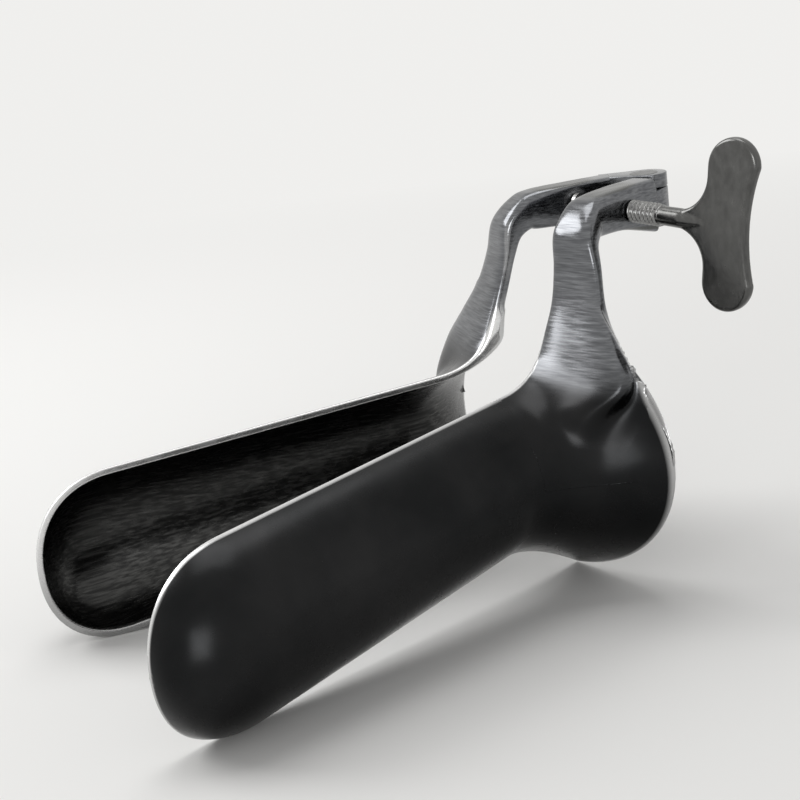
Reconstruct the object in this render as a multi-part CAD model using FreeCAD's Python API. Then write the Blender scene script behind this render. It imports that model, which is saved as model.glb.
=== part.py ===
import FreeCAD, Part
import math
import os

# Bivalve speculum of polished steel: two mirrored forgings on one hinge pin, spread by a thumb screw.
# Each valve is drawn in its own frame: x grows outward from the parting plane, y runs from the blade's
# tip to the hinge, z is up. The left valve is the same form mirrored, and both are then swung open.

V = FreeCAD.Vector

# Blade
tip_width = 35.0
top_slope = 0.074
bottom_slope = 0.144
blade_depth = 13.4
blade_wall = 1.3
rim_angle = 10.0
tip_round = 17.0
tip_power = 2.2

# Half-funnel at the root of the blade
flare_start = 76.0
mouth_y = 100.5
mouth_depth = 30.0
mouth_tilt = 0.1
rise_start = 84.0
rise_end = 99.0
top_rise = 12.0
flare_power = 2.1
bottom_power = 1.6
lip_thickness = 2.4
relief_setback = 2.7
relief_width = 4.5

# Neck, elbow and arm. A station of the neck gives its height, its place along y, how far its inner edge
# stands off the parting plane, its width, and the web that thickens it towards the funnel.
neck_stations = (
    (31.0, 92.4, 0.0, 16.0, 7.2),
    (37.0, 92.6, 0.0, 18.6, 6.4),
    (43.0, 95.1, 0.0, 22.2, 2.4),
    (49.5, 97.4, 0.5, 17.5, 0.6),
    (56.0, 100.0, 1.0, 12.5, 0.0),
    (62.5, 102.0, 0.5, 10.9, 0.0),
)
neck_lean = 16.0
neck_thickness = 3.2
elbow_reach = 7.0
arm_height = 8.4
arm_thickness = 6.0
arm_taper_length = 8.0
arm_mid_z = 70.8
flat_depth = 0.5

# Hinge
hinge_y = 131.5
hinge_z = 69.8
hinge_inset = 1.2
fork_radius = 4.6
fork_height = 10.6
cheek_height = 2.8
slot_clearance = 0.15
swing_clearance = 0.4
pin_radius = 2.0
rivet_radius = 2.8
rivet_height = 0.8
pin_seat_clearance = 0.02
pin_running_clearance = 0.05
open_half_angle = 12.5

# Thumb screw
screw_y = 118.3
screw_z = 70.8
screw_tilt = 4.6
thread_radius = 2.2
thread_clearance = 0.05
thread_end = 14.3
neck_radius = 1.8
wing_thickness = 2.3
wing_start = 18.6
wing_inner = 24.4
wing_outer = 35.3
waist_depth = 1.7
lobe_height = 11.0
wing_cant = 0.07
wing_edge = 0.8

# Thrust button in the screw's end
button_radius = 2.0
button_dome = 3.2
button_rim = 0.8
stem_radius = 1.0
stem_length = 2.6
stem_clearance = 0.05
button_gap = 0.05
bore_relief = 0.3

lobe_radius = (wing_outer - wing_inner) / 2


def blend(a, b, t):
    return a + (b - a) * t


def flare(y, length):
    """How far into the half-funnel a station lies, from 0 at its start to 1."""
    return min(max((y - flare_start) / length, 0.0), 1.0)


def tip_factor(y, start, radius):
    """Rounding of the blade's tip, a little fuller than a quarter ellipse."""
    q = min(max((y - start) / radius, 0.0), 1.0)
    return (1.0 - (1.0 - q) ** tip_power) ** (1 / tip_power)


def tip_low_point():
    """Height of the blade's lowest edge, on which the instrument stands."""
    heights = []
    for step in range(1, 101):
        y = tip_round * step / 100
        heights.append(tip_width / 2 * (1 - tip_factor(y, 0.0, tip_round)) + bottom_slope * y)
    return min(heights)


def section(y, wall=0.0, lip=0.0):
    """Centre height, half height and depth of the trough's arc at a station."""
    rounding = tip_factor(y, wall, tip_round - wall)
    q_side = flare(y, mouth_y - flare_start)
    q_top = min(max((y - rise_start) / (rise_end + wall - rise_start), 0.0), 1.0)
    mouth_drop = bottom_slope * mouth_y - tip_low_point()
    low = bottom_slope * y - mouth_drop * q_side ** bottom_power + wall
    top = tip_width + top_slope * y + top_rise * (1 - math.sqrt(1 - q_top ** 2)) - wall
    depth = blade_depth + (mouth_depth - blade_depth) * q_side ** flare_power
    depth -= blend(wall, lip, q_side)
    middle = (low + top) / 2
    return middle, (top - low) / 2 * rounding, depth * rounding


def arc_section(y, middle, half, depth, back):
    """Closed wire of an ellipse's arc, closed at x = -back; its plane leans forward as the funnel opens."""
    lean = mouth_tilt * flare(y, mouth_y - flare_start)
    start = math.radians(rim_angle)

    def in_plane(x, z):
        return V(x, y - lean * x, z)

    points = []
    for step in range(13):
        t = blend(start, math.pi - start, step / 12)
        x = depth * (math.sin(t) - math.sin(start)) / (1 - math.sin(start))
        points.append(in_plane(x, middle - half * math.cos(t) / math.cos(start)))
    points[0] = in_plane(0, middle - half)
    points[-1] = in_plane(0, middle + half)
    out = depth * math.cos(start) / (1 - math.sin(start))
    along = half * math.tan(start)
    curve = Part.BSplineCurve()
    curve.interpolate(Points=points, InitialTangent=V(out, -lean * out, along),
                      FinalTangent=V(-out, lean * out, along))
    edges = [curve.toShape()]
    if back > 0:
        behind_top = in_plane(-back, middle + half)
        behind_bottom = in_plane(-back, middle - half)
        edges.append(Part.makeLine(points[-1], behind_top))
        edges.append(Part.makeLine(behind_top, behind_bottom))
        edges.append(Part.makeLine(behind_bottom, points[0]))
    else:
        edges.append(Part.makeLine(points[-1], points[0]))
    return Part.Wire(edges)


def trough(wall, lip, back, overrun):
    """Lofted body under one skin of the blade and half-funnel."""
    radius = tip_round - wall
    stations = [wall + radius * (1 - math.cos(math.radians(a))) for a in (9, 20, 32, 45, 60, 75)]
    stations += [blend(tip_round, flare_start, k / 4) for k in (0.2, 1, 2, 3, 4)]
    length = mouth_y - flare_start
    stations += [flare_start + length * math.sin(math.radians(a)) for a in (14, 28, 42, 54, 64, 73, 81, 90)]
    if overrun:
        stations.append(mouth_y + overrun)
    profiles = []
    for y in stations:
        middle, half, depth = section(y, wall, lip)
        profiles.append(arc_section(y, middle, half, depth, back))
    return Part.makeLoft(profiles, True, False)


def rounded_section(inner_edge, across, width, thickness, power):
    """Closed superellipse wire: width outward from the inner edge, thickness along the unit vector across."""
    centre = inner_edge + V(width / 2, 0, 0)
    points = []
    for step in range(24):
        t = 2 * math.pi * (step + 0.5) / 24
        c, s = math.cos(t), math.sin(t)
        x = math.copysign(abs(c) ** (2 / power), c) * width / 2
        n = math.copysign(abs(s) ** (2 / power), s) * thickness / 2
        points.append(centre + V(x, 0, 0) + across * n)
    curve = Part.BSplineCurve()
    curve.interpolate(Points=points, PeriodicFlag=True)
    return Part.Wire([curve.toShape()])


def arm_path():
    """Stations of neck, elbow and arm: inner edge, direction across, width, thickness, squareness."""
    stations = []
    lean = math.radians(neck_lean)
    for z, y, inset, width, web in neck_stations:
        across = V(0, math.cos(lean), -math.sin(lean))
        stations.append((V(inset, y, z), across, width, neck_thickness + web, 2.8))
    top_z, top_y, top_inset, top_width, _ = neck_stations[-1]
    for f in (0.4, 0.75, 1.0):
        turn = blend(lean, math.pi / 2, f)
        y = top_y + elbow_reach * (1 - math.cos(f * math.pi / 2))
        z = top_z + (arm_mid_z - top_z) * math.sin(f * math.pi / 2)
        width = blend(top_inset + top_width, arm_thickness + 1.4, f)
        thick = blend(neck_thickness, arm_height * 0.92, f)
        stations.append((V(0, y, z), V(0, math.cos(turn), -math.sin(turn)), width, thick, 3.0))
    width = arm_thickness + 2 * flat_depth
    run_start = top_y + elbow_reach + arm_taper_length
    stations.append((V(-flat_depth, run_start, arm_mid_z), V(0, 0, -1), width, arm_height, 4.5))
    run_end = hinge_y - fork_radius - 1
    stations.append((V(-flat_depth, run_end, hinge_z), V(0, 0, -1), width, fork_height, 6.0))
    return stations


def arm_body():
    """Neck, elbow and arm, with the flat milled on its inner side."""
    wires = [rounded_section(*station) for station in arm_path()]
    bend = Part.makeLoft(wires[:-1], True, False, False, 3)
    run = Part.makeLoft(wires[-2:], True, True)
    outward = Part.makeBox(2 * mouth_depth, 2 * hinge_y, 2 * arm_mid_z)
    return bend.common(outward).fuse(run.common(outward))


def mouth_relief():
    """Wedge ground off the mouth's upper corner, so that the two valves' lips clear each other behind the neck."""
    slope = relief_setback / relief_width
    over = mouth_depth
    low = tip_width
    corners = [
        V(-over, mouth_y - relief_setback - over * slope, low),
        V(over, mouth_y - relief_setback + over * slope, low),
        V(-over, mouth_y + over, low),
    ]
    return Part.Face(Part.makePolygon(corners + corners[:1])).extrude(V(0, 0, tip_width))


def valve_blank():
    """Blade, half-funnel and arm in one forging, without its hinge end."""
    outer = trough(0.0, 0.0, 0.0, 0.0)
    inner = trough(blade_wall, lip_thickness, 3.0, 1.0)
    return outer.cut(inner).cut(mouth_relief()).fuse(arm_body().cut(inner))


def axis_cylinder(radius, low, high):
    """Cylinder about the hinge axis in the valve's own frame."""
    return Part.makeCylinder(radius, high - low, V(-hinge_inset, hinge_y, low))


def pin_shape(clearance):
    """Riveted pin with a flush countersunk head at each end."""
    low = hinge_z - fork_height / 2
    high = hinge_z + fork_height / 2
    shank = axis_cylinder(pin_radius + clearance, low, high)
    wide = rivet_radius + clearance
    thin = pin_radius + clearance
    bottom = Part.makeCone(wide, thin, rivet_height, V(-hinge_inset, hinge_y, low))
    top = Part.makeCone(thin, wide, rivet_height, V(-hinge_inset, hinge_y, high - rivet_height))
    return shank.fuse([bottom, top]).removeSplitter()


def hinge_profile(radius, height, z, start):
    """Plate from the arm's inner flat to a round end about the hinge axis."""
    corner_in = V(0, start, z)
    corner_out = V(arm_thickness, start, z)
    axis = V(-hinge_inset, hinge_y, z)
    angle = math.radians(28)
    side_in = axis + V(-radius, 0, 0)
    side_out = axis + V(radius * math.cos(angle), radius * math.sin(angle), 0)
    middle = axis + V(radius * math.cos(math.radians(104)), radius * math.sin(math.radians(104)), 0)
    edges = [
        Part.makeLine(corner_in, corner_out),
        Part.makeLine(corner_out, side_out),
        Part.Arc(side_out, middle, side_in).toShape(),
        Part.makeLine(side_in, corner_in),
    ]
    return Part.Face(Part.Wire(edges)).extrude(V(0, 0, height))


def fork_end(blank):
    """Left valve's end: two cheeks about a slot, bored for the pin."""
    low = hinge_z - fork_height / 2
    slot_low = low + cheek_height
    slot_high = low + fork_height - cheek_height
    block = hinge_profile(fork_radius, fork_height, low, hinge_y - fork_radius - 1)
    slot = axis_cylinder(fork_radius + swing_clearance, slot_low, slot_high)
    opening = Part.makeBox(30, 60, slot_high - slot_low, V(-30, hinge_y - 30, slot_low))
    body = blank.fuse(block).cut(slot).cut(opening)
    return body.cut(pin_shape(pin_seat_clearance))


def tongue_end(blank):
    """Right valve's end: a tongue that fills the fork's slot."""
    low = hinge_z - fork_height / 2
    tongue_low = low + cheek_height + slot_clearance
    tongue_high = low + fork_height - cheek_height - slot_clearance
    tongue = hinge_profile(fork_radius, tongue_high - tongue_low, tongue_low, hinge_y - 1.5 * fork_radius)
    room = fork_radius + swing_clearance
    below = axis_cylinder(room, low - 5, tongue_low)
    above = axis_cylinder(room, tongue_high, low + fork_height + 5)
    body = blank.cut(below).cut(above).fuse(tongue.cut(below).cut(above))
    return body.cut(axis_cylinder(pin_radius + pin_running_clearance, low, low + fork_height))


def along_screw(shape):
    """Places a shape drawn along x on the screw's axis in the right valve's frame."""
    shape.rotate(V(0, 0, 0), V(0, 1, 0), screw_tilt)
    shape.translate(V(0, screw_y, screw_z))
    return shape


def wing_outline():
    """Two rounded lobes and a waist, drawn with arcs in the x-z plane."""
    def point(x, z):
        return V(x + wing_cant * z, -wing_thickness / 2, z)

    lobe_mid = (wing_inner + wing_outer) / 2
    edges = []
    for side in (1, -1):
        root = point(wing_start, side * neck_radius)
        shoulder = point(wing_inner, side * (lobe_height - lobe_radius / 3))
        hollow = point(blend(wing_start, wing_inner, 0.72), side * blend(neck_radius, lobe_height, 0.27))
        lobe_in = point(wing_inner, side * lobe_height)
        lobe_top = point(lobe_mid, side * (lobe_height + lobe_radius))
        lobe_out = point(wing_outer, side * lobe_height)
        edges.append(Part.makeLine(point(thread_end, side * neck_radius), root))
        edges.append(Part.Arc(root, hollow, shoulder).toShape())
        edges.append(Part.makeLine(shoulder, lobe_in))
        edges.append(Part.Arc(lobe_in, lobe_top, lobe_out).toShape())
    waist = Part.Arc(point(wing_outer, lobe_height), point(wing_outer - waist_depth, 0), point(wing_outer, -lobe_height))
    edges.append(waist.toShape())
    edges.append(Part.makeLine(point(thread_end, neck_radius), point(thread_end, -neck_radius)))
    return Part.Wire(Part.__sortEdges__(edges))


def tip_travel():
    """Distance along the screw's axis from the arm's inner flat to the dome's centre at rest."""
    total = math.radians(2 * open_half_angle)
    tilt = math.radians(screw_tilt)
    lever = hinge_y - screw_y
    gap = lever * math.sin(total) + hinge_inset * (1 + math.cos(total))
    return (gap - button_dome - button_gap) / (math.cos(tilt) * math.cos(total))


def thrust_button():
    """Domed button with a stem that turns in the screw's end."""
    centre = -tip_travel()
    dome = Part.makeSphere(button_dome, V(centre, 0, 0))
    depth = math.sqrt(button_dome ** 2 - button_radius ** 2)
    rim_start = centre - depth
    core = Part.makeCylinder(button_radius, 2 * button_dome, V(rim_start - 2 * button_dome, 0, 0), V(1, 0, 0))
    cap = dome.common(core)
    rim = Part.makeCylinder(button_radius, button_rim, V(rim_start, 0, 0), V(1, 0, 0))
    stem = Part.makeCylinder(stem_radius, stem_length, V(rim_start + button_rim, 0, 0), V(1, 0, 0))
    return cap.fuse([rim, stem]).removeSplitter(), rim_start + button_rim


def thumb_screw(start):
    """Spindle with its flat two-lobed wing, in one piece."""
    gap = stem_clearance
    spindle = Part.makeCylinder(thread_radius, thread_end - start - gap, V(start + gap, 0, 0), V(1, 0, 0))
    neck = Part.makeCone(thread_radius, wing_thickness / 2, wing_inner - thread_end, V(thread_end, 0, 0), V(1, 0, 0))
    plate = Part.Face(wing_outline()).extrude(V(0, wing_thickness, 0))
    rims = [e for e in plate.Edges if abs(abs(e.BoundBox.YMin) - wing_thickness / 2) < 1e-6
            and e.BoundBox.YLength < 1e-6 and e.BoundBox.XMax > wing_start + 0.1]
    plate = plate.makeFillet(wing_edge, rims)
    bore = Part.makeCylinder(stem_radius + stem_clearance, stem_length + bore_relief, V(start, 0, 0), V(1, 0, 0))
    return spindle.fuse([neck, plate]).cut(bore).removeSplitter()


def mirrored(shape):
    return shape.mirror(V(0, 0, 0), V(1, 0, 0))


def swing(shape, side):
    """Puts a valve's shape on the common hinge and swings it to the open rest pose."""
    shape.translate(V(side * hinge_inset, 0, 0))
    shape.rotate(V(0, hinge_y, 0), V(0, 0, 1), side * open_half_angle)
    return shape


def build():
    blank = valve_blank()
    right = tongue_end(blank)
    tapped = Part.makeCylinder(thread_radius + thread_clearance, 40, V(-20, 0, 0), V(1, 0, 0))
    right = right.cut(along_screw(tapped))
    left = fork_end(blank)
    button, start = thrust_button()
    screw = thumb_screw(start)
    nodes = {
        "left_valve": swing(mirrored(left), -1),
        "right_valve": swing(right, 1),
        "hinge_pin": swing(mirrored(pin_shape(0.0)), -1),
        "thumb_screw": swing(along_screw(screw), 1),
        "thrust_button": swing(along_screw(button), 1),
    }
    return nodes


def stand_on_origin(nodes):
    """Moves the whole part so that its box stands centred on the origin."""
    low = [1e9, 1e9, 1e9]
    high = [-1e9, -1e9, -1e9]
    for shape in nodes.values():
        for point in shape.tessellate(0.02)[0]:
            for axis in range(3):
                low[axis] = min(low[axis], point[axis])
                high[axis] = max(high[axis], point[axis])
    shift = V(-(low[0] + high[0]) / 2, -(low[1] + high[1]) / 2, -low[2])
    for shape in nodes.values():
        shape.translate(shift)
    return shift


os.makedirs("parts", exist_ok=True)
parts = build()
moved = stand_on_origin(parts)
print("shift", [round(value, 4) for value in moved])
for name, shape in parts.items():
    solids = shape.Solids
    print(name, "solids", len(solids), "valid", shape.isValid(), "volume", round(shape.Volume, 1))
    shape = solids[0] if len(solids) == 1 else Part.makeCompound(solids)
    shape.exportStep("parts/" + name + ".step")
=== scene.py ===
"""Bivalve speculum in mirror-polished steel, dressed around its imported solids.

Shapes are worked out in millimetres. Each valve has its own frame: x grows outward from the parting plane,
y runs from the blade's tip to the hinge, z is up. The left valve is the same form mirrored.
"""

import bmesh
import bpy
import numpy as np
from mathutils import Matrix, Vector


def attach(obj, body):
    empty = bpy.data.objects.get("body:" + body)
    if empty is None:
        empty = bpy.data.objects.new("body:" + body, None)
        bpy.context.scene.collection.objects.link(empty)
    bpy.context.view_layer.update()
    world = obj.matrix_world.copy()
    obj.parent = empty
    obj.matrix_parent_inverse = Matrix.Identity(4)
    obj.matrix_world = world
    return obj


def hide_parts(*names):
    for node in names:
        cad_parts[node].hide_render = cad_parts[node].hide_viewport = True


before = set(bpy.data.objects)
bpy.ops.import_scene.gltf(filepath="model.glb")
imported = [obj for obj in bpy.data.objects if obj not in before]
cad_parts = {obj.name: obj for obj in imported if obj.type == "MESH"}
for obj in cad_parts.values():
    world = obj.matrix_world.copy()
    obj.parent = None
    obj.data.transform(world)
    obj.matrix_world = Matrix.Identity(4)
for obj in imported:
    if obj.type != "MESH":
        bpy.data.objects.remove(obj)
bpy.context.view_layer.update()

# Blade, and the tip that its solid's first section stands a little behind
tip_width = 35.0
top_slope = 0.074
bottom_slope = 0.144
blade_depth = 13.4
blade_wall = 1.3
rim_angle = 10.0
tip_round = 17.0
tip_setback = 0.21
tip_power = 2.2
tip_low = 2.1904
tip_lengths = 5.9

# Half-funnel, and the wedge ground off its upper corner
flare_start = 76.0
mouth_y = 100.5
mouth_depth = 30.0
mouth_tilt = 0.1
mouth_top = 50.0
rise_start = 84.0
rise_end = 100.5
top_rise = 12.0
flare_power = 2.1
bottom_power = 1.6
lip_thickness = 2.4
relief_setback = 2.7
relief_width = 4.5
relief_height = 40.0

# Rounded edges
rim_edge = 0.35
lip_round = 0.5
hinge_edge = 0.2
wing_edge = 0.8
neck_fillet = 4.5

# Hinge
hinge_y = 131.5
hinge_z = 69.8
hinge_inset = 1.2
fork_radius = 4.6
fork_height = 10.6
cheek_height = 2.8
cheek_inset = 0.03
cheek_overlap = 2.2
slot_clearance = 0.15
open_half_angle = 12.5

# Arm's straight run, with the flats milled on its inner side and on its top and bottom
arm_mid_z = 70.8
arm_height = 8.4
arm_thickness = 6.0
flat_depth = 0.5
arm_width = arm_thickness + 2 * flat_depth
run_start = 117.0
run_end = hinge_y - fork_radius - 1

# Neck, elbow and arm: height, place along y, stand-off from the parting plane, width, thickness,
# lean in degrees, squareness
arm_knots = np.array([
    [31.0, 92.4, 0.0, 16.0, 10.4, 16.0, 2.8],
    [37.0, 92.6, 0.0, 18.6, 9.6, 16.0, 2.8],
    [43.0, 95.1, 0.0, 22.2, 5.6, 16.0, 3.0],
    [49.5, 97.4, 0.5, 17.5, 3.8, 16.0, 3.4],
    [56.0, 100.0, 1.0, 12.5, 3.2, 16.0, 3.8],
    [62.5, 102.0, 0.5, 10.9, 3.2, 16.0, 3.8],
    [67.4, 103.34, 0.0, 9.8, 5.0, 45.6, 3.8],
    [70.17, 106.3, 0.0, 8.4, 6.5, 71.5, 4.0],
    [arm_mid_z, 109.0, 0.0, 7.4, 7.7, 90.0, 4.5],
    [arm_mid_z, run_start, -flat_depth, arm_width, arm_height, 90.0, 6.0],
    [hinge_z, run_end, -flat_depth, arm_width, fork_height, 90.0, 7.0],
])
arm_sections = 260
first_crisp_section = 70

# Skin over the neck's root: where its funnel starts and its arm's sections end, its top, how far it stands
# proud, how far it sinks past its ends, and its grain
root_start = 80.0
last_root_section = 150
root_top = 65.5
root_stand = 0.015
root_sink = 0.3
root_voxel = 0.3

# Thumb screw, its places along its own axis
screw_y = 118.3
screw_z = 70.8
screw_tilt = 4.6
screw_start = -4.7
thread_end = 14.3
thread_radius = 2.2
thread_pitch = 1.0
thread_depth = 0.5
crest_width = 1.15
flank_slope = 2.6
shank_start = 12.8
shank_radius = 1.8
shank_radii = (1.75, 1.85, 1.9, 0.9)
wing_thickness = 2.3
wing_start = 18.6
wing_inner = 24.4
wing_outer = 35.3
waist_depth = 1.7
wing_cant = 0.07
lobe_height = 11.0
wing_voxel = 0.22

# From the shapes' millimetres to the frame's metres
row_shift = np.array([-0.1923, -69.8406, -tip_low])
mm = 0.001

# Studio, and the photograph's camera: focal length in pixels, yaw, pitch and roll in degrees, place
picture_width = 800
backdrop_colour = (0.87, 0.865, 0.85, 1)
camera_focal = 1621.4469
camera_turn = (62.41371, 15.727876, -7.119364)
camera_place = (0.262429, -0.136808, 0.123504)


def ease(a, b, t):
    """Smooth step from 0 at a to 1 at b."""
    q = np.clip((t - a) / (b - a), 0.0, 1.0)
    return q * q * (3 - 2 * q)


def to_row(points, side):
    """A valve's own frame to the row frame, in metres: side -1 mirrors x, then the valve swings open."""
    angle = np.radians(open_half_angle) * side
    x = side * (points[..., 0] + hinge_inset)
    y = points[..., 1] - hinge_y
    out = np.stack([
        x * np.cos(angle) - y * np.sin(angle),
        x * np.sin(angle) + y * np.cos(angle) + hinge_y,
        points[..., 2],
    ], axis=-1)
    return (out + row_shift) * mm


def along_screw(points):
    """The screw's own frame, with x along its axis, to the right valve's frame."""
    tilt = np.radians(screw_tilt)
    x, y, z = points[..., 0], points[..., 1], points[..., 2]
    return np.stack([
        x * np.cos(tilt) + z * np.sin(tilt),
        y + screw_y,
        z * np.cos(tilt) - x * np.sin(tilt) + screw_z,
    ], axis=-1)


def through(knots, rows, s):
    """Curve through the rows: on each span a cubic whose end slopes are those of the neighbouring rows."""
    slopes = np.gradient(rows, knots, axis=0)
    i = np.clip(np.searchsorted(knots, s, side="right") - 1, 0, len(knots) - 2)
    span = (knots[i + 1] - knots[i])[:, None]
    t = ((s - knots[i]) / (knots[i + 1] - knots[i]))[:, None]
    start = (1 + 2 * t) * (1 - t) ** 2 * rows[i] + t * (1 - t) ** 2 * span * slopes[i]
    end = t * t * (3 - 2 * t) * rows[i + 1] - t * t * (1 - t) * span * slopes[i + 1]
    return start + end


def arc(a, b, c, count):
    """Points on the circle through a, b and c, from a to c."""
    ax, ay, bx, by, cx, cy = *a, *b, *c
    d = 2 * (ax * (by - cy) + bx * (cy - ay) + cx * (ay - by))
    ux = ((ax**2 + ay**2) * (by - cy) + (bx**2 + by**2) * (cy - ay) + (cx**2 + cy**2) * (ay - by)) / d
    uy = ((ax**2 + ay**2) * (cx - bx) + (bx**2 + by**2) * (ax - cx) + (cx**2 + cy**2) * (bx - ax)) / d
    angles = np.unwrap([np.arctan2(p[1] - uy, p[0] - ux) for p in (a, b, c)])
    turn = np.linspace(angles[0], angles[2], count)
    radius = np.hypot(ax - ux, ay - uy)
    return np.stack([ux + radius * np.cos(turn), uy + radius * np.sin(turn)], axis=1)


def trough_section(y, wall, lip):
    """At each y the trough's middle height, half height and depth, and how far the funnel has opened.
    The tip closes along a superellipse; depth, bottom and top grow by a power of the way to the mouth."""
    q = np.clip((y - wall) / (tip_round - wall), 0.0, 1.0)
    rounding = (1 - (1 - q) ** tip_power) ** (1 / tip_power)
    q_side = np.clip((y - flare_start) / (mouth_y - flare_start), 0.0, 1.0)
    q_top = np.clip((y - rise_start) / (rise_end + wall - rise_start), 0.0, 1.0)
    mouth_drop = bottom_slope * mouth_y - tip_low
    low = bottom_slope * y - mouth_drop * q_side**bottom_power + wall
    top = tip_width + top_slope * y + top_rise * (1 - np.sqrt(1 - q_top**2)) - wall
    depth = blade_depth + (mouth_depth - blade_depth) * q_side**flare_power
    depth = depth - wall - (lip - wall) * q_side
    return (low + top) / 2, (top - low) / 2 * rounding, depth * rounding, q_side


def skin(y, turn, wall, lip):
    """One skin of blade and half-funnel: at each y an ellipse's arc from the bottom rim to the top rim."""
    middle, half, depth, q_side = trough_section(y, wall, lip)
    start = np.radians(rim_angle)
    t = start + (np.pi - 2 * start) * turn
    x = depth * (np.sin(t) - np.sin(start)) / (1 - np.sin(start))
    z = middle - half * np.cos(t) / np.cos(start)
    y = y + tip_setback * np.clip(1 - y / tip_round, 0, 1) ** 2
    return np.stack([x, y - mouth_tilt * q_side * x, z], axis=-1)


def skin_distance(p, wall, lip):
    """Signed distance from one skin of the trough, to first order: the ellipse's equation by its slope."""

    def equation(x, y, z):
        section_y = y
        for _ in range(3):
            section_y = y + mouth_tilt * trough_section(section_y, wall, lip)[3] * x
        middle, half, depth, _ = trough_section(section_y, wall, lip)
        start = np.radians(rim_angle)
        across = x * (1 - np.sin(start)) / depth + np.sin(start)
        return np.hypot(across, (middle - z) * np.cos(start) / half) - 1

    x, y, z = p.T
    step = 0.01
    here = equation(x, y, z)
    slope = np.stack([equation(x + step, y, z), equation(x, y + step, z), equation(x, y, z + step)]) - here
    return here * step / np.linalg.norm(slope, axis=0)


arm_order = np.arange(len(arm_knots), dtype=float)
arm_table = through(arm_order, arm_knots, np.linspace(0, arm_order[-1], arm_sections))


def arm_distance(p):
    """Signed distance from the arm, to first order, in the section whose plane lies nearest."""
    x, y, z = p.T
    turn = np.radians(arm_table[:, 5])
    off_y = y[:, None] - arm_table[None, :, 1]
    off_z = z[:, None] - arm_table[None, :, 0]
    off_plane = off_y * np.sin(turn) + off_z * np.cos(turn)
    far = off_plane**2 + 0.02 * (off_y**2 + off_z**2)
    i = np.clip(np.argmin(far, axis=1), 1, len(arm_table) - 2)
    rows = np.arange(len(p))
    a, b, c = far[rows, i - 1], far[rows, i], far[rows, i + 1]
    s = i + np.clip((a - c) / np.maximum(2 * (a - 2 * b + c), 1e-9), -0.5, 0.5)
    knots = np.arange(len(arm_table), dtype=float)
    row_z, row_y, inset, width, thick, lean, power = through(knots, arm_table, s).T
    lean = np.radians(lean)
    along = (x - inset - width / 2) / (width / 2)
    across = ((y - row_y) * np.cos(lean) - (z - row_z) * np.sin(lean)) / (thick / 2)
    size = (np.abs(along) ** power + np.abs(across) ** power) ** (1 / power) + 1e-6
    slope_along = (np.abs(along) / size) ** (power - 1) / (width / 2)
    slope_across = (np.abs(across) / size) ** (power - 1) / (thick / 2)
    return (size - 1) / np.hypot(slope_along, slope_across)


def soft_min(a, b, reach):
    """Lesser of two distances, rounded where they differ by less than the reach."""
    near = np.maximum(reach - np.abs(a - b), 0.0) / reach
    return np.minimum(a, b) - near**3 * reach / 6


def soft_max(a, b, reach):
    """Greater of two distances, rounded in the same way."""
    return -soft_min(-a, -b, reach)


def valve_distance(p):
    """The forging's root: funnel and neck joined by a fillet, hollowed, and cut at the parting plane."""
    x, y, z = p.T
    mouth = y + mouth_tilt * x - mouth_y
    slope = relief_setback / relief_width
    relief = (y - slope * x - mouth_y + relief_setback) / np.hypot(1, slope)
    funnel = soft_max(skin_distance(p, 0.0, 0.0), mouth, 2 * rim_edge)
    funnel = np.where(z > relief_height, soft_max(funnel, relief, rim_edge), funnel)
    funnel = np.maximum(funnel, (z - mouth_top - 0.3 * x) / np.hypot(1, 0.3))
    body = soft_min(arm_distance(p), funnel, neck_fillet)
    body = soft_max(body, -skin_distance(p, blade_wall, lip_thickness), 2 * rim_edge)
    return soft_max(body, -x, 2 * rim_edge)


def settled(p, rounds):
    """Points moved onto the forging's surface by steps along the distance's slope."""
    step = 0.01
    for _ in range(rounds):
        here = valve_distance(p)
        slope = np.stack([valve_distance(p + step * np.eye(3)[k]) - here for k in range(3)], axis=1) / step
        p = p - slope * np.clip(here / np.sum(slope**2, axis=1), -0.3, 0.3)[:, None]
    return p, slope / np.linalg.norm(slope, axis=1)[:, None]


def bend(a, corner, b, count):
    """Points on the rounding from a to b whose tangents meet in the corner."""
    t = np.linspace(0, 1, count)[None, :, None]
    a, corner, b = a[:, None], corner[:, None], b[:, None]
    return (1 - t) ** 2 * a + 2 * t * (1 - t) * corner + t**2 * b


def half_ring(y, turn, wall, lip, far_wall, far_lip, far_y):
    """One skin across each y, its two rims rounded towards the other skin."""
    middle, half, depth, _ = trough_section(y[:, -1:], wall, lip)
    inset = np.clip(rim_edge / (2.4 * (half + depth) + 0.01), 0.0, 0.3)
    face = skin(y, inset + (1 - 2 * inset) * turn, wall, lip)
    ends = []
    for k, first in ((0, 0), (-1, 1)):
        end = np.full((len(y), 1), float(first))
        corner = skin(y[:, k:][:, :1], end, wall, lip)[:, 0]
        across = skin(far_y[:, k:][:, :1], end, far_wall, far_lip)[:, 0] - corner
        across *= rim_edge / np.linalg.norm(across, axis=1)[:, None]
        ends.append(bend(face[:, k], corner, corner + across, 5)[:, 1:])
    return np.concatenate([ends[0][:, ::-1], face, ends[1]], axis=1)


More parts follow.
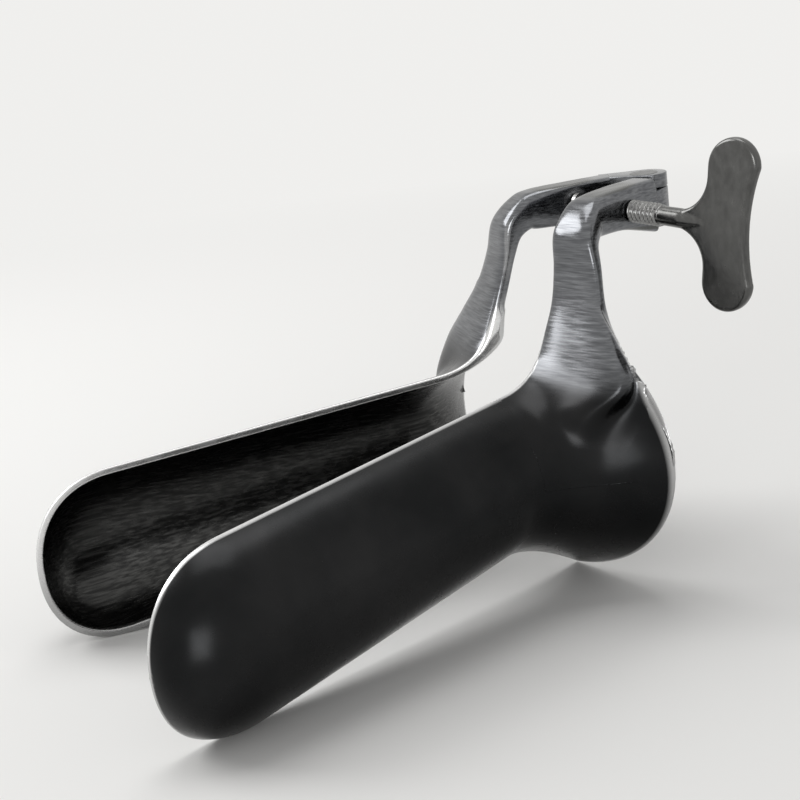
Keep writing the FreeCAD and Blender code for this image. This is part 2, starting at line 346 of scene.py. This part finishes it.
def trough_rings(first=0.0, low=0.0, across=84, rounded=True):
    """Closed rings towards the mouth, out along the outer skin and back along the inner, edges rounded."""
    s = np.linspace(first, 1, 60)
    if first == 0:
        tip = 1 - np.cos(np.linspace(0, np.pi / 2, 56))
        s = np.concatenate([tip, np.linspace(1, tip_lengths, 130)[1:]]) / tip_lengths
        s *= 1 - lip_round / mouth_y
    turn = low + (1 - low) * np.linspace(0, 1, across)
    mouth = mouth_y - relief_setback * ease(0.93, 1.0, turn)

    def halves(s):
        y_out = mouth * s[:, None]
        y_in = blade_wall + (mouth - blade_wall) * s[:, None]
        if not rounded:
            return skin(y_out, turn, 0.0, 0.0), skin(y_in, turn, blade_wall, lip_thickness)
        return (
            half_ring(y_out, turn, 0.0, 0.0, blade_wall, lip_thickness, y_in),
            half_ring(y_in, turn, blade_wall, lip_thickness, 0.0, 0.0, y_out),
        )

    outer, inner = halves(s)
    if rounded:
        last_out, last_in = (h[0] for h in halves(np.array([1.0])))
        gap = last_in - last_out
        gap *= lip_round / np.linalg.norm(gap, axis=1)[:, None]
        lip_out = bend(outer[-1], last_out, last_out + gap, 6)[:, 1:].transpose(1, 0, 2)
        lip_in = bend(inner[-1], last_in, last_in - gap, 6)[:, 1:].transpose(1, 0, 2)
        outer = np.concatenate([outer, lip_out])
        inner = np.concatenate([inner, lip_in])
    return np.concatenate([outer, inner[:, ::-1]], axis=1)


def hollow_reach(y, z):
    """How far outward the trough's inside reaches at each point's y and z."""
    middle, half, depth, _ = trough_section(y, blade_wall, lip_thickness)
    start = np.radians(rim_angle)
    rise = np.clip((middle - z) * np.cos(start) / half, -np.cos(start), np.cos(start))
    reach = depth * (np.sqrt(1 - rise**2) - np.sin(start)) / (1 - np.sin(start))
    return np.where(np.abs(z - middle) < half, reach, -1.0)


def arm_rings(first, last):
    """Superellipse sections along neck, elbow and arm, flat at x = 0, kept out of the trough's hollow."""
    rows = arm_table[first:last]
    z, y, inset, width, thick, lean, power = rows.T[:, :, None]
    t = np.linspace(0, 2 * np.pi, 96, endpoint=False)[None, :]
    out = np.sign(np.cos(t)) * np.abs(np.cos(t)) ** (2 / power) * width / 2
    across = np.sign(np.sin(t)) * np.abs(np.sin(t)) ** (2 / power) * thick / 2
    turn = np.radians(lean)
    x = soft_max(inset + width / 2 + out, 0.0, 0.5)
    y = y + across * np.cos(turn)
    z = z - across * np.sin(turn)
    reach = hollow_reach(y + mouth_tilt * x, z) + 0.5
    x = np.where((y < mouth_y) & (z < tip_width + 20), np.maximum(x, reach), x)
    return np.stack([x, y, z], axis=-1)


def hinge_outline(start):
    """Outline from the arm's inner flat to a round end about the hinge axis, as x and y."""
    angle = np.radians(np.linspace(28, 180, 40))
    x = fork_radius * np.cos(angle) - hinge_inset
    y = fork_radius * np.sin(angle) + hinge_y
    return np.concatenate([[[0.0, start], [arm_thickness, start]], np.stack([x, y], axis=1)])


def plate_rings(outline, low, high, edge):
    """Outline carried from low to high along the third axis, drawn in by quarter circles at both faces."""
    ahead = np.roll(outline, -1, axis=0) - outline
    behind = outline - np.roll(outline, 1, axis=0)
    ahead /= np.linalg.norm(ahead, axis=1)[:, None]
    behind /= np.linalg.norm(behind, axis=1)[:, None]
    direction = ahead + behind
    direction /= np.linalg.norm(direction, axis=1)[:, None]
    inward = np.stack([-direction[:, 1], direction[:, 0]], axis=1)
    area = np.sum(outline[:, 0] * np.roll(outline[:, 1], -1) - np.roll(outline[:, 0], -1) * outline[:, 1])
    inward *= np.sign(area)
    a = np.linspace(0, np.pi / 2, 6)
    inset = edge * np.concatenate([1 - np.sin(a), 1 - np.cos(a)])
    level = np.concatenate([low + edge * (1 - np.cos(a)), high - edge * (1 - np.sin(a))])
    flat = outline[None] + inward[None] * inset[:, None, None]
    return np.concatenate([flat, np.broadcast_to(level[:, None, None], flat.shape[:2] + (1,))], axis=-1)


def wing_outline():
    """Two rounded lobes and a waist in the screw's x-z plane, leaning outward with height."""
    radius = (wing_outer - wing_inner) / 2
    middle = (wing_inner + wing_outer) / 2
    hollow_x = wing_start + 0.72 * (wing_inner - wing_start)
    hollow_z = shank_radius + 0.27 * (lobe_height - shank_radius)
    shoulder = (wing_inner, lobe_height - radius / 3)
    concave = arc((wing_start, shank_radius), (hollow_x, hollow_z), shoulder, 24)
    lobe = arc((wing_inner, lobe_height), (middle, lobe_height + radius), (wing_outer, lobe_height), 40)
    waist_middle = (wing_outer - waist_depth, 0.0)
    waist = arc((wing_outer, lobe_height), waist_middle, (wing_outer, -lobe_height), 40)[1:-1]
    upper = np.concatenate([[[thread_end, shank_radius]], concave, lobe])
    outline = np.concatenate([upper, waist, upper[::-1] * [1, -1]])
    outline[:, 0] += wing_cant * outline[:, 1]
    return outline


def turned_rings(x, radius, count=48):
    """Profile turned about the screw's axis."""
    a = np.linspace(0, 2 * np.pi, count, endpoint=False)
    x, radius = x[:, None], radius[:, None]
    return np.stack([x + 0 * a, radius * np.cos(a), radius * np.sin(a)], axis=-1)


def thread_rings():
    """Right-hand thread: the radius rises and falls with x over the pitch less the angle over a turn."""
    x = np.arange(screw_start, thread_end, thread_pitch / 12)
    a = np.linspace(0, 2 * np.pi, 64, endpoint=False)
    phase = (x[:, None] / thread_pitch - a[None, :] / (2 * np.pi)) % 1.0
    flank = np.clip(crest_width - flank_slope * np.abs(phase - 0.5), 0.0, 1.0)
    ends = ease(screw_start, screw_start + 1.2, x) * ease(thread_end, thread_end - 1.0, x)
    radius = thread_radius - thread_depth * (1 - flank * ends[:, None])
    return np.stack([x[:, None] + 0 * a, radius * np.cos(a), radius * np.sin(a)], axis=-1)


def ring_faces(count, size):
    """Quads between neighbouring closed rings."""
    i, j = np.meshgrid(np.arange(count - 1), np.arange(size), indexing="ij")
    k = (j + 1) % size
    near, far = i * size, (i + 1) * size
    return np.stack([near + j, near + k, far + k, far + j], axis=-1).reshape(-1, 4)


def shell(rings, end="round"):
    """Vertices and faces of a closed skin over the rings. End "lip" joins a ring's two halves by quads."""
    count, size = rings.shape[:2]
    faces = ring_faces(count, size).tolist()
    faces.append(list(range(size))[::-1])
    last = (count - 1) * size
    if end == "lip":
        j = np.arange(size // 2 - 1)
        faces += (last + np.stack([j, j + 1, size - 2 - j, size - 1 - j], axis=1)).tolist()
    else:
        faces.append(list(range(last, last + size)))
    return rings.reshape(-1, 3), faces


def make_mesh(name, points, faces):
    """A mesh with its doubles merged and its faces turned outward."""
    mesh = bpy.data.meshes.new(name)
    mesh.from_pydata(points.tolist(), [], faces)
    work = bmesh.new()
    work.from_mesh(mesh)
    bmesh.ops.remove_doubles(work, verts=work.verts, dist=1e-6)
    bmesh.ops.recalc_face_normals(work, faces=work.faces)
    work.to_mesh(mesh)
    work.free()
    return mesh


def forge(name, shells, voxel):
    """Several closed skins, in millimetres, made one skin of even small quads: its points and quads."""
    points, faces = [], []
    for own_points, own_faces in shells:
        start = sum(len(p) for p in points)
        points.append(own_points)
        faces += [[start + k for k in face] for face in own_faces]
    blank = bpy.data.objects.new(name, make_mesh(name, np.concatenate(points) * mm, faces))
    bpy.context.scene.collection.objects.link(blank)
    remesh = blank.modifiers.new("one_skin", "REMESH")
    remesh.mode = "VOXEL"
    remesh.voxel_size = voxel * mm
    done = bpy.data.meshes.new_from_object(blank.evaluated_get(bpy.context.evaluated_depsgraph_get()))
    co = np.empty(len(done.vertices) * 3, dtype=np.float32)
    done.vertices.foreach_get("co", co)
    quads = np.empty(len(done.polygons) * 4, dtype=np.int32)
    done.polygons.foreach_get("vertices", quads)
    bpy.data.objects.remove(blank)
    bpy.data.meshes.remove(done)
    return co.reshape(-1, 3).astype(float) / mm, quads.reshape(-1, 4)


def neighbours_mean(co, quads, degree):
    """Mean of each point's neighbours along the quads' edges."""
    out = np.zeros_like(co)
    for k in range(4):
        a, b = quads[:, k], quads[:, (k + 1) % 4]
        for axis in range(3):
            out[:, axis] += np.bincount(a, weights=co[b, axis], minlength=len(co))
            out[:, axis] += np.bincount(b, weights=co[a, axis], minlength=len(co))
    return out / degree[:, None]


def point_normals(co, quads):
    """Unit normals from the quads' crossed diagonals."""
    cross = np.cross(co[quads[:, 2]] - co[quads[:, 0]], co[quads[:, 3]] - co[quads[:, 1]])
    out = np.zeros_like(co)
    for k in range(4):
        for axis in range(3):
            out[:, axis] += np.bincount(quads[:, k], weights=cross[:, axis], minlength=len(co))
    return out / np.maximum(np.linalg.norm(out, axis=1), 1e-12)[:, None]


def evened(co, quads, rounds):
    """Pairs of smoothing steps, one in and one out, that keep the volume."""
    degree = np.bincount(quads.ravel(), minlength=len(co)) * 2.0
    for _ in range(rounds):
        co = co + 0.55 * (neighbours_mean(co, quads, degree) - co)
        co = co - 0.57 * (neighbours_mean(co, quads, degree) - co)
    return co


def neck_root():
    """Closed skin over the neck's root and the funnel about it, settled on the filleted surface.

    It stands a hair proud of funnel and arm, dips as much below them past the fillet, and then sinks into
    their walls. Points that don't settle are drawn to the mean of their neighbours."""
    funnel = shell(trough_rings(root_start / mouth_y, 0.5, 50, rounded=False))
    arm = shell(arm_rings(0, last_root_section))
    co, quads = forge("neck_root", [funnel, arm], root_voxel)
    degree = np.bincount(quads.ravel(), minlength=len(co)) * 2.0
    co = evened(co, quads, 2)
    sunk = co - root_sink * point_normals(co, quads)
    reach = arm_distance(co)
    near = ease(neck_fillet + 5, neck_fillet + 3, reach) * ease(root_top, root_top - 1.5, co[:, 2])
    inner = np.flatnonzero(near > 0)
    for _ in range(3):
        co[inner] = settled(co[inner], 3)[0]
        push = neighbours_mean(co, quads, degree) - co
        normals = point_normals(co, quads)
        push -= normals * np.sum(push * normals, axis=1)[:, None]
        co[inner] += 0.5 * push[inner]
    co[inner] = settled(co[inner], 5)[0]
    wild = inner[np.abs(valve_distance(co[inner])) > 0.02]
    for _ in range(40):
        co[wild] = neighbours_mean(co, quads, degree)[wild]
    co[inner] = evened(co, quads, 2)[inner]
    normals = point_normals(co, quads)
    proud = ease(neck_fillet + 3, neck_fillet, reach[inner])
    proud *= ease(root_top - 2, root_top - 5.5, co[inner, 2])
    co[inner] += normals[inner] * (root_stand * (2 * proud - 1))[:, None]
    return sunk + near[:, None] * (co - sunk), quads


def add_piece(name, points, faces, body, nodes, material, finish_and_sheen=None):
    """A smooth piece in the row frame, riding on its body. Its surface masks, with the painted sheen and
    painted highlight, are kept as a colour on its points.
    """
    mesh = bpy.data.meshes.new(name)
    counts = np.array([len(face) for face in faces])
    starts = np.concatenate([[0], np.cumsum(counts)[:-1]])
    corners = np.concatenate(faces).astype(np.int32)
    mesh.vertices.add(len(points))
    mesh.vertices.foreach_set("co", np.ascontiguousarray(points, dtype=np.float32).ravel())
    mesh.loops.add(len(corners))
    mesh.loops.foreach_set("vertex_index", corners)
    mesh.polygons.add(len(counts))
    mesh.polygons.foreach_set("loop_start", starts.astype(np.int32))
    if finish_and_sheen is not None:
        layer = mesh.attributes.new("finish_and_sheen", "FLOAT_COLOR", "POINT")
        layer.data.foreach_set("color", np.concatenate([finish_and_sheen, np.ones((len(finish_and_sheen), 1))], axis=1).ravel())
    mesh.update(calc_edges=True)
    mesh.polygons.foreach_set("use_smooth", np.ones(len(counts), dtype=bool))
    work = bmesh.new()
    work.from_mesh(mesh)
    bmesh.ops.remove_doubles(work, verts=work.verts, dist=2e-7)
    bmesh.ops.recalc_face_normals(work, faces=work.faces)
    work.to_mesh(mesh)
    work.free()
    piece = bpy.data.objects.new(name, mesh)
    bpy.context.scene.collection.objects.link(piece)
    mesh.materials.append(material)
    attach(piece, body)
    if nodes:
        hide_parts(*nodes)
    return piece


def noise(nodes, links, place, scale, detail=4.0):
    """Noise on the object's own coordinates, stretched by its three scales per metre."""
    stretch = nodes.new("ShaderNodeMapping")
    stretch.inputs["Scale"].default_value = scale
    texture = nodes.new("ShaderNodeTexNoise")
    texture.inputs["Scale"].default_value = 1.0
    texture.inputs["Detail"].default_value = detail
    links.new(place.outputs["Object"], stretch.inputs["Vector"])
    links.new(stretch.outputs["Vector"], texture.inputs["Vector"])
    return texture.outputs["Fac"]


def ramp(nodes, links, value, low, high, to_low, to_high):
    """Carries a value from one range to another and holds it at the ends."""
    spread = nodes.new("ShaderNodeMapRange")
    for name, number in (("From Min", low), ("From Max", high), ("To Min", to_low), ("To Max", to_high)):
        spread.inputs[name].default_value = number
    links.new(value, spread.inputs["Value"])
    return spread.outputs["Result"]


def join(nodes, links, kind, a, b):
    """Two values added or multiplied."""
    node = nodes.new("ShaderNodeMath")
    node.operation = kind
    for socket, value in ((node.inputs[0], a), (node.inputs[1], b)):
        if isinstance(value, float):
            socket.default_value = value
        else:
            links.new(value, socket)
    return node.outputs[0]


def tint(nodes, links, share, a, b):
    """Colour mixed from a to b by the share."""
    node = nodes.new("ShaderNodeMix")
    node.data_type = "RGBA"
    colours = [socket for socket in node.inputs if socket.type == "RGBA"]
    for socket, colour in zip(colours, (a, b)):
        if isinstance(colour, tuple):
            socket.default_value = (*colour, 1)
        else:
            links.new(colour, socket)
    links.new(share, node.inputs["Factor"])
    return next(socket for socket in node.outputs if socket.type == "RGBA")


def shaded(nodes, links, value, low, high, dark, light):
    """Colour from dark to light as the value goes from low to high."""
    return tint(nodes, links, ramp(nodes, links, value, low, high, 0.0, 1.0), dark, light)


def grooved(nodes, links, shader, height, strength, depth):
    """Fine relief on the shader's surface from a height."""
    bump = nodes.new("ShaderNodeBump")
    bump.inputs["Strength"].default_value = strength
    bump.inputs["Distance"].default_value = depth
    links.new(height, bump.inputs["Height"])
    links.new(bump.outputs["Normal"], shader.inputs["Normal"])


def new_steel(name):
    """A bare metal's material, with its nodes, links and shader and the object's own coordinates."""
    material = bpy.data.materials.new(name)
    material.use_nodes = True
    nodes, links = material.node_tree.nodes, material.node_tree.links
    shader = nodes["Principled BSDF"]
    shader.inputs["Metallic"].default_value = 1.0
    return material, nodes, links, shader, nodes.new("ShaderNodeTexCoord")


def forged_steel():
    """Dark soft polish on blade and funnel. Neck and arm are lighter and brushed across, partly their own
    surface and partly painted sheen standing in for their highlights. Rims and lip carry a painted highlight
    in pale grey.
    Drawn lengthwise inside the trough, dull on the arm's milled flats."""
    material, nodes, links, shader, place = new_steel("forged_steel")
    finish_and_sheen = nodes.new("ShaderNodeAttribute")
    finish_and_sheen.attribute_name = "finish_and_sheen"
    parts = nodes.new("ShaderNodeSeparateColor")
    links.new(finish_and_sheen.outputs["Color"], parts.inputs["Color"])
    # Red marks brushed steel with painted sheen, green a painted highlight, blue the dull drawn and milled
    # surfaces.
    brushed_and_sheen, painted_highlight, dull = (parts.outputs[k] for k in ("Red", "Green", "Blue"))
    clouds = noise(nodes, links, place, (45, 45, 45))
    blotches = noise(nodes, links, place, (160, 160, 160), 6.0)
    across = noise(nodes, links, place, (150, 600, 3200), 5.0)
    lengthwise = noise(nodes, links, place, (1800, 70, 1800), 6.0)

    body = shaded(nodes, links, clouds, 0.35, 0.65, (0.014, 0.0145, 0.015), (0.024, 0.024, 0.0245))
    drawn = shaded(nodes, links, lengthwise, 0.4, 0.75, (0.035, 0.035, 0.034), (0.15, 0.15, 0.145))
    body = tint(nodes, links, dull, body, drawn)
    # Lighter colour on neck and arm: partly their brushed steel, partly painted sheen standing in for their
    # highlights.
    neck = shaded(nodes, links, across, 0.3, 0.7, (0.1, 0.103, 0.11), (0.2, 0.205, 0.215))
    milled = shaded(nodes, links, blotches, 0.3, 0.7, (0.09, 0.092, 0.09), (0.13, 0.13, 0.127))
    neck = tint(nodes, links, dull, neck, milled)
    colour = tint(nodes, links, brushed_and_sheen, body, neck)
    # Painted highlight: rims and lip turned pale grey, standing in for light caught on their rounded edges.
    colour = tint(nodes, links, painted_highlight, colour, (0.72, 0.72, 0.72))
    links.new(colour, shader.inputs["Base Color"])

    smooth = ramp(nodes, links, blotches, 0.3, 0.7, 0.22, 0.32)
    brushed = ramp(nodes, links, across, 0.3, 0.7, 0.12, 0.26)
    satin = ramp(nodes, links, lengthwise, 0.3, 0.7, 0.18, 0.34)
    rough = tint(nodes, links, brushed_and_sheen, smooth, brushed)
    rough = tint(nodes, links, dull, rough, satin)
    links.new(rough, shader.inputs["Roughness"])

    brush_marks = join(nodes, links, "MULTIPLY", across, brushed_and_sheen)
    draw_marks = join(nodes, links, "MULTIPLY", lengthwise, dull)
    grooved(nodes, links, shader, join(nodes, links, "ADD", brush_marks, draw_marks), 0.35, 0.00004)
    return material


def turned_steel(name, dark, light, rough_low, rough_high, grain):
    """Satin steel whose fine grain varies its colour, gloss and relief."""
    material, nodes, links, shader, place = new_steel(name)
    lines = noise(nodes, links, place, grain, 5.0)
    clouds = noise(nodes, links, place, (120, 120, 120))
    fine = join(nodes, links, "MULTIPLY", lines, 0.6)
    coarse = join(nodes, links, "MULTIPLY", clouds, 0.4)
    mixed = join(nodes, links, "ADD", fine, coarse)
    links.new(shaded(nodes, links, mixed, 0.35, 0.65, dark, light), shader.inputs["Base Color"])
    links.new(ramp(nodes, links, mixed, 0.35, 0.65, rough_low, rough_high), shader.inputs["Roughness"])
    grooved(nodes, links, shader, lines, 0.3, 0.00003)
    return material


def valve_finish_and_sheen(p, inside):
    """Per point: how much lighter brushed colour with painted sheen (neck and arm), how much painted
    highlight (rims and lip), how dull (flats and inside).
    """
    x, y, z = p.T
    # Painted sheen, partly brushed steel: lighter from about 40 mm up, over the neck and arm.
    brushed_and_sheen = ease(40, 49, z + 0.25 * (y - 92))
    # Painted highlight on the rims, stronger towards the top as if lit from above, and on the lip.
    rim = ease(1.1, 0.5, x) * ease(104, 96, y) * (0.5 + 0.5 * ease(8, 25, z))
    lip = ease(mouth_y - 0.9, mouth_y - 0.4, y + mouth_tilt * x) * ease(57, 50, z)
    flat_height = arm_height / 2 + 0.11 * np.maximum(y - run_start, 0)
    flats = ease(106, 110, y) * ease(0.55, 0.3, np.abs(np.abs(z - arm_mid_z) - flat_height))
    return np.stack([brushed_and_sheen, np.maximum(rim, lip * 0.6), np.maximum(flats, 0.5 * inside)], axis=1)


def make_valves(material):
    """Both valves: blade with half-funnel, the filleted root over it, and the arm with its hinge end."""
    rings = trough_rings()
    trough_points, trough_faces = shell(rings, "lip")
    arm_points, arm_faces = shell(arm_rings(first_crisp_section, arm_sections))
    root_points, root_quads = neck_root()
    low = hinge_z - fork_height / 2
    high = hinge_z + fork_height / 2
    block = hinge_outline(hinge_y - fork_radius - cheek_overlap)
    lower_cheek = shell(plate_rings(block, low + cheek_inset, low + cheek_height, hinge_edge))
    upper_cheek = shell(plate_rings(block, high - cheek_height, high - cheek_inset, hinge_edge))
    tongue_low = low + cheek_height + slot_clearance
    tongue_high = high - cheek_height - slot_clearance
    tongue_block = hinge_outline(hinge_y - 1.5 * fork_radius)
    tongue = shell(plate_rings(tongue_block, tongue_low, tongue_high, hinge_edge))
    inside = np.zeros(rings.shape[:2])
    inside[:, rings.shape[1] // 2 :] = 1
    trough_finish_and_sheen = valve_finish_and_sheen(trough_points, inside.ravel())
    root_inside = ease(0.35, 0.1, np.abs(skin_distance(root_points, blade_wall, lip_thickness)))
    root_finish_and_sheen = valve_finish_and_sheen(root_points, root_inside)
    for side, word, ends in ((-1, "left", [lower_cheek, upper_cheek]), (1, "right", [tongue])):
        points, faces = arm_points, list(arm_faces)
        for end_points, end_faces in ends:
            faces += [[len(points) + k for k in face] for face in end_faces]
            points = np.concatenate([points, end_points])
        arm_finish_and_sheen = valve_finish_and_sheen(points, np.zeros(len(points)))
        for part, own_points, own_faces, finish_and_sheen in (
            ("_blade", trough_points, trough_faces, trough_finish_and_sheen),
            ("_neck_root", root_points, list(root_quads), root_finish_and_sheen),
            ("_arm", points, faces, arm_finish_and_sheen),
        ):
            add_piece(word + part, to_row(own_points, side), own_faces, word + "_side", [word + "_valve"],
                      material, finish_and_sheen)


def make_screw(thread_material, wing_material):
    """Thumb screw: the thread by itself, then shank and wing run together in one skin."""
    points, faces = shell(thread_rings())
    thread_mesh = make_mesh("screw_thread", to_row(along_screw(points), 1), faces)
    thread = bpy.data.objects.new("screw_thread", thread_mesh)
    bpy.context.scene.collection.objects.link(thread)
    thread_mesh.materials.append(thread_material)
    thread_mesh.shade_smooth()
    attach(thread, "screw")
    shank_end = wing_inner + 2
    x = np.linspace(shank_start, shank_end, 40)
    radius = np.interp(x, (shank_start, thread_end, wing_start, shank_end), shank_radii)
    shank = turned_rings(x, radius)
    flat = plate_rings(wing_outline(), -wing_thickness / 2, wing_thickness / 2, wing_edge)[..., [0, 2, 1]]
    co, quads = forge("screw_wing", [shell(shank), shell(flat)], wing_voxel)
    points = to_row(along_screw(evened(co, quads, 12)), 1)
    add_piece("screw_wing", points, list(quads), "screw", ["thumb_screw"], wing_material)


def seen_rays(nodes, links):
    """1 for camera, glossy and transmission rays, which show the pale backdrop, and 0 for the others."""
    rays = nodes.new("ShaderNodeLightPath")
    seen = join(nodes, links, "MAXIMUM", rays.outputs["Is Camera Ray"], rays.outputs["Is Glossy Ray"])
    return join(nodes, links, "MAXIMUM", seen, rays.outputs["Is Transmission Ray"])


def make_paper():
    """Pale floor that takes the object's shadow and runs out into an even pale backdrop with distance."""
    paper = bpy.data.materials.new("paper")
    paper.use_nodes = True
    nodes, links = paper.node_tree.nodes, paper.node_tree.links
    shader = nodes["Principled BSDF"]
    shader.inputs["Base Color"].default_value = (0.82, 0.815, 0.8, 1)
    shader.inputs["Roughness"].default_value = 0.95
    shader.inputs["Specular IOR Level"].default_value = 0.1
    glow = nodes.new("ShaderNodeEmission")
    glow.inputs["Color"].default_value = backdrop_colour
    place = nodes.new("ShaderNodeTexCoord")
    length = nodes.new("ShaderNodeVectorMath")
    length.operation = "LENGTH"
    links.new(place.outputs["Object"], length.inputs[0])
    far = ramp(nodes, links, length.outputs["Value"], 0.16, 0.55, 0.0, 1.0)
    mix = nodes.new("ShaderNodeMixShader")
    links.new(join(nodes, links, "MULTIPLY", far, seen_rays(nodes, links)), mix.inputs["Fac"])
    links.new(shader.outputs["BSDF"], mix.inputs[1])
    links.new(glow.outputs["Emission"], mix.inputs[2])
    links.new(mix.outputs["Shader"], nodes["Material Output"].inputs["Surface"])
    return paper


def make_floor():
    """Wide flat floor under the object."""
    mesh = bpy.data.meshes.new("floor")
    mesh.from_pydata([(-6, -6, 0), (6, -6, 0), (6, 6, 0), (-6, 6, 0)], [], [(0, 1, 2, 3)])
    floor = bpy.data.objects.new("floor", mesh)
    bpy.context.scene.collection.objects.link(floor)
    mesh.materials.append(make_paper())


def make_room_light():
    """Even soft light from all round; camera, glossy and transmission rays see the pale backdrop instead."""
    world = bpy.data.worlds.new("studio")
    bpy.context.scene.world = world
    world.use_nodes = True
    nodes, links = world.node_tree.nodes, world.node_tree.links
    shade = nodes["Background"]
    shade.inputs["Color"].default_value = (0.9, 0.9, 0.9, 1)
    shade.inputs["Strength"].default_value = 0.45
    pale = nodes.new("ShaderNodeBackground")
    pale.inputs["Color"].default_value = backdrop_colour
    mix = nodes.new("ShaderNodeMixShader")
    links.new(seen_rays(nodes, links), mix.inputs["Fac"])
    links.new(shade.outputs["Background"], mix.inputs[1])
    links.new(pale.outputs["Background"], mix.inputs[2])
    links.new(mix.outputs["Shader"], nodes["World Output"].inputs["Surface"])


def make_lamps():
    """Three square soft lamps, each aimed at the object's middle: name, place, size, power in watts."""
    middle = Vector((0, 0, 0.04))
    for name, place, size, power in (
        ("high_left", (-0.56, -0.4, 0.55), 0.5, 3.8),
        ("overhead", (-0.25, 0.1, 0.95), 0.6, 2.9),
        ("front_panel", (0.74, -0.6, 0.24), 0.42, 2.4),
    ):
        lamp = bpy.data.lights.new(name, "AREA")
        lamp.shape = "SQUARE"
        lamp.size = size
        lamp.energy = power
        holder = bpy.data.objects.new(name, lamp)
        holder.location = place
        holder.rotation_euler = (middle - Vector(place)).to_track_quat("-Z", "Y").to_euler()
        bpy.context.scene.collection.objects.link(holder)


def make_camera():
    """Camera at the photograph's angle, its axes worked out from yaw, pitch and roll."""
    camera = bpy.data.cameras.new("camera")
    camera.sensor_width = 36.0
    camera.lens = camera.sensor_width * camera_focal / picture_width
    camera.clip_start = 0.01
    viewer = bpy.data.objects.new("camera", camera)
    yaw, pitch, roll = np.radians(camera_turn)
    back = np.array([np.sin(yaw) * np.cos(pitch), -np.cos(yaw) * np.cos(pitch), np.sin(pitch)])
    right = np.array([np.cos(yaw), np.sin(yaw), 0.0])
    up = np.cross(back, right)
    turned_right = np.cos(roll) * right + np.sin(roll) * up
    turned_up = -np.sin(roll) * right + np.cos(roll) * up
    axes = Matrix((turned_right, turned_up, back)).transposed()
    viewer.matrix_world = Matrix.Translation(Vector(camera_place)) @ axes.to_4x4()
    bpy.context.scene.collection.objects.link(viewer)
    bpy.context.scene.camera = viewer
    bpy.context.scene.view_settings.view_transform = "Standard"


make_valves(forged_steel())
thread_steel, wing_steel, pin_steel = (turned_steel(*values) for values in (
    ("thread_steel", (0.14, 0.14, 0.14), (0.36, 0.36, 0.355), 0.1, 0.22, (400, 2500, 2500)),
    ("wing_steel", (0.085, 0.085, 0.083), (0.13, 0.13, 0.127), 0.16, 0.28, (500, 2500, 500)),
    ("pin_steel", (0.1, 0.1, 0.1), (0.16, 0.16, 0.155), 0.25, 0.4, (900, 900, 900)),
))
make_screw(thread_steel, wing_steel)
for node, material in (("hinge_pin", pin_steel), ("thrust_button", thread_steel)):
    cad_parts[node].data.materials.clear()
    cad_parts[node].data.materials.append(material)
make_floor()
make_room_light()
make_lamps()
make_camera()
